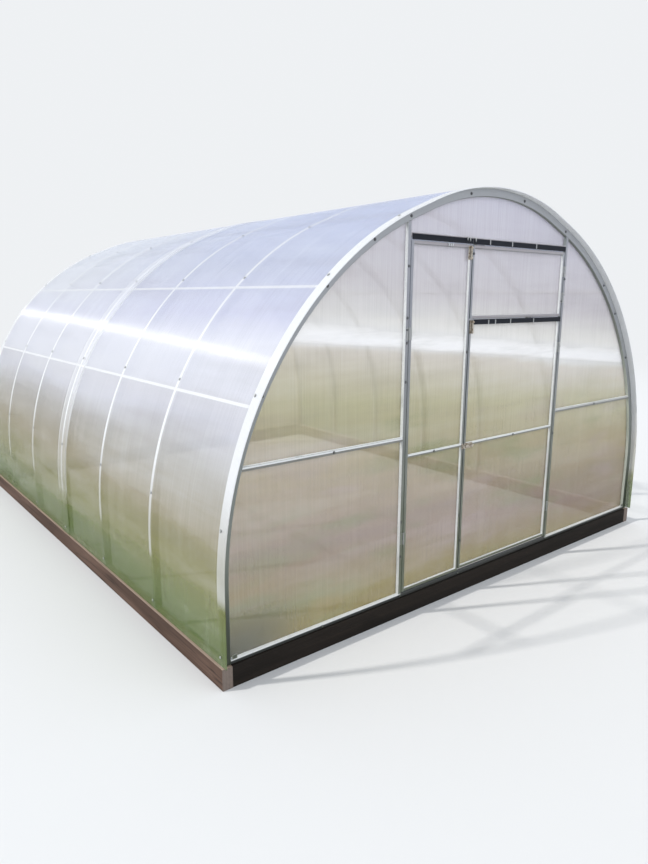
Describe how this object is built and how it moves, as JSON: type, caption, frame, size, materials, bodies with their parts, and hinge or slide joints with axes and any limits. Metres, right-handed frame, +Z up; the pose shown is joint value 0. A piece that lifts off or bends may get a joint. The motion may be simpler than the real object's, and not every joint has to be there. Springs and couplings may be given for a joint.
{
  "type": "greenhouse",
  "caption": "Arched walk-in greenhouse on a timber sill: steel arches under bent polycarbonate sheets, with a hinged door, a vent and a narrow side leaf in the front gable.",
  "frame": {"origin": "on the ground, in the middle of the footprint", "axes": "+X to the right along the front gable, +Y from the front gable to the rear gable, +Z up; the gable with the door faces -Y"},
  "size_m": [3.4246, 4.094, 2.1734],
  "materials": {
    "steel_tube": "satin",
    "cladding": "gloss",
    "timber": "matte",
    "seal_rubber": "matte",
    "fittings": "satin"
  },
  "bodies": {
    "house": {"front_arch": "steel_tube", "arch_1": "steel_tube", "arch_2": "steel_tube", "arch_3": "steel_tube", "arch_4": "steel_tube", "arch_5": "steel_tube", "rear_arch": "steel_tube", "lower_purlins_left": "steel_tube", "lower_purlins_right": "steel_tube", "upper_purlins_left": "steel_tube", "upper_purlins_right": "steel_tube", "ridge_purlins": "steel_tube", "front_base_rail": "steel_tube", "front_posts": "steel_tube", "front_rails": "steel_tube", "rear_base_rail": "steel_tube", "rear_posts": "steel_tube", "rear_rails": "steel_tube", "vent_stiles": "steel_tube", "vent_rails": "steel_tube", "front_side_panels": "cladding", "front_top_panel": "cladding", "rear_side_panels": "cladding", "rear_middle_panel": "cladding", "rear_top_panel": "cladding", "vent_panel": "cladding", "front_roof_sheet": "cladding", "rear_roof_sheet": "cladding", "sill_left": "timber", "sill_right": "timber", "sill_front": "timber", "sill_rear": "timber", "head_seals": "seal_rubber", "post_hinges": "fittings", "vent_hinges": "fittings"},
    "door": {"door_stiles": "steel_tube", "door_rails": "steel_tube", "door_panel": "cladding", "door_seal": "seal_rubber", "door_hinges": "fittings", "door_bolts": "fittings"},
    "side_leaf": {"side_leaf_stiles": "steel_tube", "side_leaf_rails": "steel_tube", "side_leaf_panel": "cladding", "side_leaf_hinges": "fittings", "side_leaf_bolt": "fittings", "side_leaf_keeper": "fittings"}
  },
  "joints": [
    {"name": "door_hinge", "type": "hinge", "parent": "house", "child": "door", "pos_m": [0.644, -2.016, 0.83], "axis": [0, 0, 1], "range_deg": [0, 120]},
    {"name": "side_leaf_hinge", "type": "hinge", "parent": "house", "child": "side_leaf", "pos_m": [-0.644, -2.016, 0.935], "axis": [0, 0, -1], "range_deg": [0, 120]}
  ]
}
